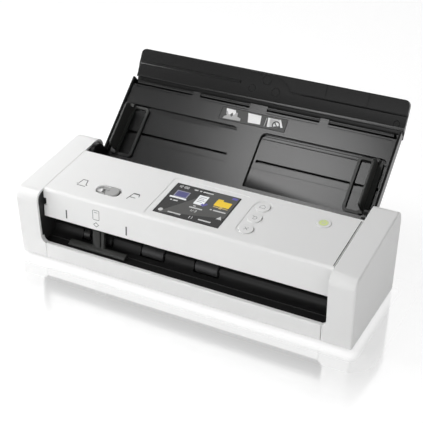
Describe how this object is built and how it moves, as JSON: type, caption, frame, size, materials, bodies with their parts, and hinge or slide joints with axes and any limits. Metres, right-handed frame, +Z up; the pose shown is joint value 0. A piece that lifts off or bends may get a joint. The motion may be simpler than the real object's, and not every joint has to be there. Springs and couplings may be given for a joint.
{
  "type": "desktop scanner",
  "caption": "Compact desktop document scanner with a folding black lid, paper guides, a touch panel cover that tilts forward, feed rollers and a card slot.",
  "frame": {"origin": "centre of the body, on the underside of the base frame's floor; the rubber feet reach 1.5 mm below it", "axes": "+X to the right seen from the front, +Y to the back, +Z up"},
  "size_m": [0.3, 0.1748, 0.1386],
  "materials": {
    "white_plastic": "satin white moulded plastic",
    "button_plastic": "smooth off-white moulded plastic",
    "lever_plastic": "light grey moulded plastic",
    "lid_plastic": "matte charcoal moulded plastic with a fine grain",
    "chute_plastic": "black moulded plastic, semi-gloss",
    "guide_plastic": "dark grey moulded plastic",
    "plate_plastic": "thin dark grey plate",
    "soft_rubber": "dark grey rubber",
    "shaft_steel": "ground steel",
    "gear_plastic": "natural white engineering plastic",
    "circuit_board": "green laminate",
    "screen_glass": "polished dark cover glass",
    "clear_glass": "polished clear glass"
  },
  "bodies": {
    "base": {"base_frame": "chute_plastic", "left_end_cap": "white_plastic", "right_end_cap": "white_plastic", "front_strip": "white_plastic", "rear_cover": "white_plastic", "lower_chute": "chute_plastic", "rear_chute": "chute_plastic", "card_guide": "guide_plastic", "lower_scan_bar": "lid_plastic", "lower_scan_glass": "clear_glass", "main_board": "circuit_board", "feed_motor": "shaft_steel", "host_port": "shaft_steel", "usb_port": "shaft_steel", "power_inlet": "lid_plastic", "foot_front_left": "soft_rubber", "foot_rear_left": "soft_rubber", "foot_front_right": "soft_rubber", "foot_rear_right": "soft_rubber", "left_cap_screw": "shaft_steel", "right_cap_screw": "shaft_steel"},
    "feed_drive": {"feed_shaft": "shaft_steel", "feed_roller_left": "soft_rubber", "feed_roller_right": "soft_rubber", "feed_gear": "gear_plastic"},
    "pick_drive": {"pick_shaft": "shaft_steel", "pick_roller_left": "soft_rubber", "pick_roller_right": "soft_rubber", "pick_gear": "gear_plastic"},
    "eject_drive": {"eject_shaft": "shaft_steel", "eject_roller_left": "soft_rubber", "eject_roller_right": "soft_rubber", "eject_gear": "gear_plastic"},
    "pick_idler": {"pick_idler_gear": "gear_plastic"},
    "eject_idler": {"eject_idler_gear": "gear_plastic"},
    "motor_rotor": {"motor_pinion": "shaft_steel"},
    "front_cover_group": {"front_cover": "white_plastic", "upper_chute": "chute_plastic", "upper_scan_bar": "lid_plastic", "upper_scan_glass": "clear_glass", "screen_glass": "screen_glass", "screen_module": "shaft_steel", "panel_board": "circuit_board"},
    "separation": {"separation_roller": "soft_rubber"},
    "button_1": {"panel_button_1": "button_plastic"},
    "button_2": {"panel_button_2": "button_plastic"},
    "button_3": {"panel_button_3": "button_plastic"},
    "power": {"power_button": "button_plastic"},
    "lever": {"path_lever": "lever_plastic"},
    "lid": {"lid_shell": "lid_plastic", "lid_panel": "lid_plastic", "icon_plate": "plate_plastic", "flap_hinge_pin": "shaft_steel"},
    "flap": {"lid_flap": "lid_plastic"},
    "arm": {"support_arm": "lid_plastic"},
    "left_guide_slider": {"left_guide": "guide_plastic"},
    "right_guide_slider": {"right_guide": "guide_plastic"},
    "left_fence": {"left_guide_fence": "guide_plastic"},
    "right_fence": {"right_guide_fence": "guide_plastic"},
    "guide_gear": {"guide_pinion": "gear_plastic"}
  },
  "joints": [
    {"name": "lid_hinge", "type": "hinge", "parent": "base", "child": "lid", "pos_m": [0, 0.0355, 0.065], "axis": [1, 0, 0], "range_deg": [0, 144.4]},
    {"name": "flap_hinge", "type": "hinge", "parent": "lid", "child": "flap", "pos_m": [0, 0.10446, 0.1106], "axis": [1, 0, 0], "range_deg": [0, 65.5]},
    {"name": "arm_swing", "type": "hinge", "parent": "flap", "child": "arm", "pos_m": [0, 0.11446, 0.13319], "axis": [0, 0.9143, -0.4051], "range_deg": [-90, 0]},
    {"name": "front_cover_hinge", "type": "hinge", "parent": "base", "child": "front_cover_group", "pos_m": [0, -0.0362, 0.0512], "axis": [-1, 0, 0], "range_deg": [-85, 0]},
    {"name": "left_guide_slide", "type": "slide", "parent": "lid", "child": "left_guide_slider", "axis": [1, 0, 0], "range_m": [0, 0.078]},
    {"name": "right_guide_slide", "type": "slide", "parent": "lid", "child": "right_guide_slider", "axis": [-1, 0, 0], "range_m": [0, 0.078]},
    {"name": "guide_pinion_spin", "type": "hinge", "parent": "lid", "child": "guide_gear", "pos_m": [0, 0.0708, 0.07507], "axis": [0, -0.6959, 0.7181], "range_deg": [-750, 0]},
    {"name": "left_fence_fold", "type": "hinge", "parent": "left_guide_slider", "child": "left_fence", "pos_m": [-0.1162, 0.0669, 0.07909], "axis": [0, 0.7181, 0.6959], "range_deg": [0, 90.1]},
    {"name": "right_fence_fold", "type": "hinge", "parent": "right_guide_slider", "child": "right_fence", "pos_m": [0.1162, 0.0669, 0.07909], "axis": [0, -0.7181, -0.6959], "range_deg": [0, 90.1]},
    {"name": "button_1_press", "type": "slide", "parent": "front_cover_group", "child": "button_1", "axis": [0, 0.1478, -0.989], "range_m": [0, 0.0008], "stiffness_N_per_m": 500, "springref_m": -0.001},
    {"name": "button_2_press", "type": "slide", "parent": "front_cover_group", "child": "button_2", "axis": [0, 0.1478, -0.989], "range_m": [0, 0.0008], "stiffness_N_per_m": 500, "springref_m": -0.001},
    {"name": "button_3_press", "type": "slide", "parent": "front_cover_group", "child": "button_3", "axis": [0, 0.1478, -0.989], "range_m": [0, 0.0008], "stiffness_N_per_m": 500, "springref_m": -0.001},
    {"name": "power_press", "type": "slide", "parent": "front_cover_group", "child": "power", "axis": [0, 0.1478, -0.989], "range_m": [0, 0.0008], "stiffness_N_per_m": 500, "springref_m": -0.001},
    {"name": "lever_slide", "type": "slide", "parent": "front_cover_group", "child": "lever", "axis": [1, 0, 0], "range_m": [-0.008, 0]},
    {"name": "feed_spin", "type": "hinge", "parent": "base", "child": "feed_drive", "pos_m": [0.134, 0.012, 0.0219], "axis": [1, 0, 0], "continuous": true},
    {"name": "pick_spin", "type": "hinge", "parent": "base", "child": "pick_drive", "pos_m": [0.134, 0.031, 0.031], "axis": [1, 0, 0], "continuous": true},
    {"name": "eject_spin", "type": "hinge", "parent": "base", "child": "eject_drive", "pos_m": [0.134, -0.024, 0.0208], "axis": [1, 0, 0], "continuous": true},
    {"name": "pick_idler_spin", "type": "hinge", "parent": "base", "child": "pick_idler", "pos_m": [0.134, 0.02479, 0.01958], "axis": [1, 0, 0], "continuous": true},
    {"name": "eject_idler_spin", "type": "hinge", "parent": "base", "child": "eject_idler", "pos_m": [0.134, -0.00587, 0.01712], "axis": [1, 0, 0], "continuous": true},
    {"name": "motor_spin", "type": "hinge", "parent": "base", "child": "motor_rotor", "pos_m": [0.134, 0.03525, 0.01618], "axis": [1, 0, 0], "continuous": true},
    {"name": "separation_spin", "type": "hinge", "parent": "front_cover_group", "child": "separation", "pos_m": [0, 0.01973, 0.04263], "axis": [1, 0, 0], "continuous": true}
  ],
  "couplings": [
    {"joint": "right_guide_slide", "follows": "left_guide_slide", "ratio": 1},
    {"joint": "guide_pinion_spin", "follows": "left_guide_slide", "rad_per_m": -166.67},
    {"joint": "left_fence_fold", "follows": "lid_hinge", "ratio": 0.62327},
    {"joint": "right_fence_fold", "follows": "lid_hinge", "ratio": 0.62327},
    {"joint": "pick_idler_spin", "follows": "feed_spin", "ratio": -1.1667},
    {"joint": "pick_spin", "follows": "feed_spin", "ratio": 1},
    {"joint": "eject_idler_spin", "follows": "feed_spin", "ratio": -0.6087},
    {"joint": "eject_spin", "follows": "feed_spin", "ratio": 1},
    {"joint": "motor_spin", "follows": "feed_spin", "ratio": 1.4}
  ]
}
